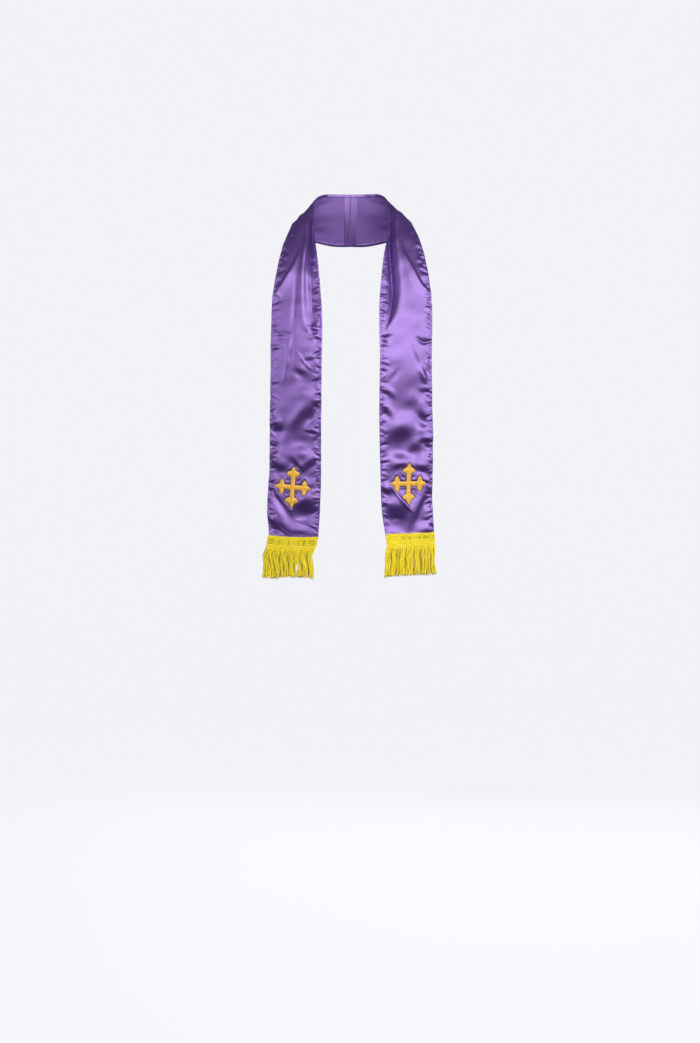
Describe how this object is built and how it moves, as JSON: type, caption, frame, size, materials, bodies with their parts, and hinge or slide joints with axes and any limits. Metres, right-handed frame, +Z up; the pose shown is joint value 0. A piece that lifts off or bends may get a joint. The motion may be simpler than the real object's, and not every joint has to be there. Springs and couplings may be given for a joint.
{
  "type": "clerical stole",
  "caption": "Purple satin stole worn round the neck, hanging open in front, with gold embroidered budded crosses and yellow fringed ends.",
  "frame": {"origin": "inner face of the strip at the centre of the nape, where the wearer's neck carries it", "axes": "+Z up, -Y the way the wearer faces, +X towards the wearer's left"},
  "size_m": [0.3365, 0.2077, 0.7609],
  "materials": {
    "satin": "glossy polyester satin",
    "embroidery": "gold rayon satin stitch",
    "fringe": "lemon-yellow plied cord"
  },
  "bodies": {
    "root": {"stole_left": "satin", "stole_right": "satin", "cross_left": "embroidery", "cross_right": "embroidery", "fringe_left": "fringe", "fringe_right": "fringe"}
  },
  "joints": []
}
